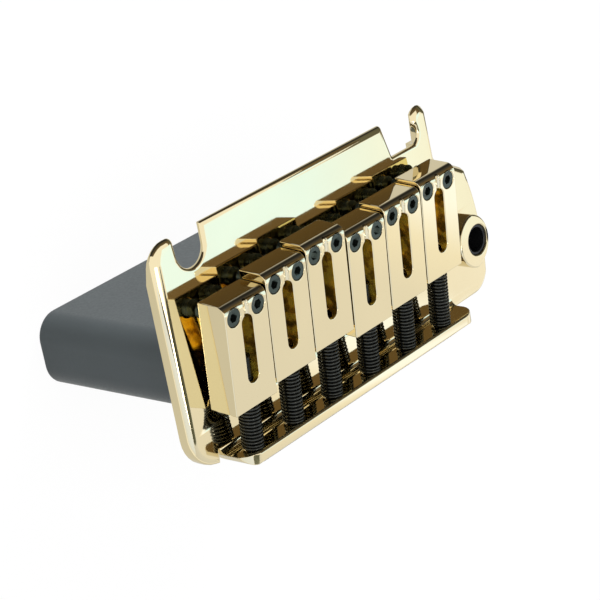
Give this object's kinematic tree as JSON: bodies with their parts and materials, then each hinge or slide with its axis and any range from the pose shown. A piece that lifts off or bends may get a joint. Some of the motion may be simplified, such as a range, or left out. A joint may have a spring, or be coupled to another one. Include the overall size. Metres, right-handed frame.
{
  "type": "two-post guitar tremolo bridge",
  "caption": "Guitar bridge with a flat plate notched for two posts, a heavy block below it, and a row of slotted saddles set by screws and springs.",
  "frame": {"origin": "midway between the bottoms of the two post notches, on the plate's top face", "axes": "+X along the row of saddles to the treble side, +Y from the block towards the neck, +Z out of the plate's top, away from the guitar's body"},
  "size_m": [0.083, 0.041, 0.0459],
  "materials": {
    "gold_plate": "mirror-polished gold plating",
    "gold_saddle": "mirror-polished gold plating",
    "gold_screw": "gold-plated, slightly satin",
    "black_screw": "blackened, smooth",
    "black_spring": "blackened wire",
    "black_bush": "matt",
    "grey_block": "satin grey coating"
  },
  "bodies": {
    "bridge": {"baseplate": "gold_plate", "inertia_block": "grey_block", "block_screws": "gold_screw", "arm_socket": "gold_plate", "arm_bush": "black_bush", "arm_socket_nut": "gold_screw"},
    "tilt_1": {"intonation_spring_1": "black_spring"},
    "length_screw_1": {"intonation_screw_1": "black_screw"},
    "saddle_1": {"saddle_1": "gold_saddle"},
    "height_screw_1_bass": {"height_screw_1_bass": "black_screw"},
    "height_screw_1_treble": {"height_screw_1_treble": "black_screw"},
    "tilt_2": {"intonation_spring_2": "black_spring"},
    "length_screw_2": {"intonation_screw_2": "black_screw"},
    "saddle_2": {"saddle_2": "gold_saddle"},
    "height_screw_2_bass": {"height_screw_2_bass": "black_screw"},
    "height_screw_2_treble": {"height_screw_2_treble": "black_screw"},
    "tilt_3": {"intonation_spring_3": "black_spring"},
    "length_screw_3": {"intonation_screw_3": "black_screw"},
    "saddle_3": {"saddle_3": "gold_saddle"},
    "height_screw_3_bass": {"height_screw_3_bass": "black_screw"},
    "height_screw_3_treble": {"height_screw_3_treble": "black_screw"},
    "tilt_4": {"intonation_spring_4": "black_spring"},
    "length_screw_4": {"intonation_screw_4": "black_screw"},
    "saddle_4": {"saddle_4": "gold_saddle"},
    "height_screw_4_bass": {"height_screw_4_bass": "black_screw"},
    "height_screw_4_treble": {"height_screw_4_treble": "black_screw"},
    "tilt_5": {"intonation_spring_5": "black_spring"},
    "length_screw_5": {"intonation_screw_5": "black_screw"},
    "saddle_5": {"saddle_5": "gold_saddle"},
    "height_screw_5_bass": {"height_screw_5_bass": "black_screw"},
    "height_screw_5_treble": {"height_screw_5_treble": "black_screw"},
    "tilt_6": {"intonation_spring_6": "black_spring"},
    "length_screw_6": {"intonation_screw_6": "black_screw"},
    "saddle_6": {"saddle_6": "gold_saddle"},
    "height_screw_6_bass": {"height_screw_6_bass": "black_screw"},
    "height_screw_6_treble": {"height_screw_6_treble": "black_screw"}
  },
  "joints": [
    {"name": "tilt_1", "type": "hinge", "parent": "bridge", "child": "tilt_1", "pos_m": [-0.02625, -0.03345, 0.0032], "axis": [1, 0, 0], "range_deg": [-2.5, 2.5]},
    {"name": "length_turn_1", "type": "hinge", "parent": "tilt_1", "child": "length_screw_1", "pos_m": [-0.02625, -0.03345, 0.0032], "axis": [0, 0.9949, 0.1008], "range_deg": [-1605, 1605]},
    {"name": "length_slide_1", "type": "slide", "parent": "tilt_1", "child": "saddle_1", "axis": [0, 0.9949, 0.1008], "range_m": [-0.002, 0.002], "deforming": ["intonation_spring_1"]},
    {"name": "height_1_bass", "type": "slide", "parent": "saddle_1", "child": "height_screw_1_bass", "axis": [0, -0.1008, 0.9949], "range_m": [-0.0014, 0.0014]},
    {"name": "height_1_treble", "type": "slide", "parent": "saddle_1", "child": "height_screw_1_treble", "axis": [0, -0.1008, 0.9949], "range_m": [-0.0014, 0.0014]},
    {"name": "tilt_2", "type": "hinge", "parent": "bridge", "child": "tilt_2", "pos_m": [-0.01575, -0.03345, 0.0032], "axis": [1, 0, 0], "range_deg": [-2.5, 2.5]},
    {"name": "length_turn_2", "type": "hinge", "parent": "tilt_2", "child": "length_screw_2", "pos_m": [-0.01575, -0.03345, 0.0032], "axis": [0, 0.9954, 0.0954], "range_deg": [-1605, 1605]},
    {"name": "length_slide_2", "type": "slide", "parent": "tilt_2", "child": "saddle_2", "axis": [0, 0.9954, 0.0954], "range_m": [-0.002, 0.002], "deforming": ["intonation_spring_2"]},
    {"name": "height_2_bass", "type": "slide", "parent": "saddle_2", "child": "height_screw_2_bass", "axis": [0, -0.0954, 0.9954], "range_m": [-0.0014, 0.0014]},
    {"name": "height_2_treble", "type": "slide", "parent": "saddle_2", "child": "height_screw_2_treble", "axis": [0, -0.0954, 0.9954], "range_m": [-0.0014, 0.0014]},
    {"name": "tilt_3", "type": "hinge", "parent": "bridge", "child": "tilt_3", "pos_m": [-0.00525, -0.03345, 0.0032], "axis": [1, 0, 0], "range_deg": [-2.5, 2.5]},
    {"name": "length_turn_3", "type": "hinge", "parent": "tilt_3", "child": "length_screw_3", "pos_m": [-0.00525, -0.03345, 0.0032], "axis": [0, 0.9957, 0.0924], "range_deg": [-1605, 1605]},
    {"name": "length_slide_3", "type": "slide", "parent": "tilt_3", "child": "saddle_3", "axis": [0, 0.9957, 0.0924], "range_m": [-0.002, 0.002], "deforming": ["intonation_spring_3"]},
    {"name": "height_3_bass", "type": "slide", "parent": "saddle_3", "child": "height_screw_3_bass", "axis": [0, -0.0924, 0.9957], "range_m": [-0.0014, 0.0014]},
    {"name": "height_3_treble", "type": "slide", "parent": "saddle_3", "child": "height_screw_3_treble", "axis": [0, -0.0924, 0.9957], "range_m": [-0.0014, 0.0014]},
    {"name": "tilt_4", "type": "hinge", "parent": "bridge", "child": "tilt_4", "pos_m": [0.00525, -0.03345, 0.0032], "axis": [1, 0, 0], "range_deg": [-2.5, 2.5]},
    {"name": "length_turn_4", "type": "hinge", "parent": "tilt_4", "child": "length_screw_4", "pos_m": [0.00525, -0.03345, 0.0032], "axis": [0, 0.9951, 0.0986], "range_deg": [-1605, 1605]},
    {"name": "length_slide_4", "type": "slide", "parent": "tilt_4", "child": "saddle_4", "axis": [0, 0.9951, 0.0986], "range_m": [-0.002, 0.002], "deforming": ["intonation_spring_4"]},
    {"name": "height_4_bass", "type": "slide", "parent": "saddle_4", "child": "height_screw_4_bass", "axis": [0, -0.0986, 0.9951], "range_m": [-0.0014, 0.0014]},
    {"name": "height_4_treble", "type": "slide", "parent": "saddle_4", "child": "height_screw_4_treble", "axis": [0, -0.0986, 0.9951], "range_m": [-0.0014, 0.0014]},
    {"name": "tilt_5", "type": "hinge", "parent": "bridge", "child": "tilt_5", "pos_m": [0.01575, -0.03345, 0.0032], "axis": [1, 0, 0], "range_deg": [-2.5, 2.5]},
    {"name": "length_turn_5", "type": "hinge", "parent": "tilt_5", "child": "length_screw_5", "pos_m": [0.01575, -0.03345, 0.0032], "axis": [0, 0.9954, 0.0958], "range_deg": [-1605, 1605]},
    {"name": "length_slide_5", "type": "slide", "parent": "tilt_5", "child": "saddle_5", "axis": [0, 0.9954, 0.0958], "range_m": [-0.002, 0.002], "deforming": ["intonation_spring_5"]},
    {"name": "height_5_bass", "type": "slide", "parent": "saddle_5", "child": "height_screw_5_bass", "axis": [0, -0.0958, 0.9954], "range_m": [-0.0014, 0.0014]},
    {"name": "height_5_treble", "type": "slide", "parent": "saddle_5", "child": "height_screw_5_treble", "axis": [0, -0.0958, 0.9954], "range_m": [-0.0014, 0.0014]},
    {"name": "tilt_6", "type": "hinge", "parent": "bridge", "child": "tilt_6", "pos_m": [0.02625, -0.03345, 0.0032], "axis": [1, 0, 0], "range_deg": [-2.5, 2.5]},
    {"name": "length_turn_6", "type": "hinge", "parent": "tilt_6", "child": "length_screw_6", "pos_m": [0.02625, -0.03345, 0.0032], "axis": [0, 0.9956, 0.0934], "range_deg": [-1605, 1605]},
    {"name": "length_slide_6", "type": "slide", "parent": "tilt_6", "child": "saddle_6", "axis": [0, 0.9956, 0.0934], "range_m": [-0.002, 0.002], "deforming": ["intonation_spring_6"]},
    {"name": "height_6_bass", "type": "slide", "parent": "saddle_6", "child": "height_screw_6_bass", "axis": [0, -0.0934, 0.9956], "range_m": [-0.0014, 0.0014]},
    {"name": "height_6_treble", "type": "slide", "parent": "saddle_6", "child": "height_screw_6_treble", "axis": [0, -0.0934, 0.9956], "range_m": [-0.0014, 0.0014]}
  ],
  "couplings": [
    {"joint": "length_turn_1", "follows": "length_slide_1", "rad_per_m": 13963},
    {"joint": "height_1_bass", "follows": "tilt_1", "m_per_rad": -0.026978},
    {"joint": "height_1_treble", "follows": "tilt_1", "m_per_rad": -0.026978},
    {"joint": "length_turn_2", "follows": "length_slide_2", "rad_per_m": 13963},
    {"joint": "height_2_bass", "follows": "tilt_2", "m_per_rad": -0.028427},
    {"joint": "height_2_treble", "follows": "tilt_2", "m_per_rad": -0.028427},
    {"joint": "length_turn_3", "follows": "length_slide_3", "rad_per_m": 13963},
    {"joint": "height_3_bass", "follows": "tilt_3", "m_per_rad": -0.0293},
    {"joint": "height_3_treble", "follows": "tilt_3", "m_per_rad": -0.0293},
    {"joint": "length_turn_4", "follows": "length_slide_4", "rad_per_m": 13963},
    {"joint": "height_4_bass", "follows": "tilt_4", "m_per_rad": -0.027557},
    {"joint": "height_4_treble", "follows": "tilt_4", "m_per_rad": -0.027557},
    {"joint": "length_turn_5", "follows": "length_slide_5", "rad_per_m": 13963},
    {"joint": "height_5_bass", "follows": "tilt_5", "m_per_rad": -0.02833},
    {"joint": "height_5_treble", "follows": "tilt_5", "m_per_rad": -0.02833},
    {"joint": "length_turn_6", "follows": "length_slide_6", "rad_per_m": 13963},
    {"joint": "height_6_bass", "follows": "tilt_6", "m_per_rad": -0.029009},
    {"joint": "height_6_treble", "follows": "tilt_6", "m_per_rad": -0.029009}
  ]
}
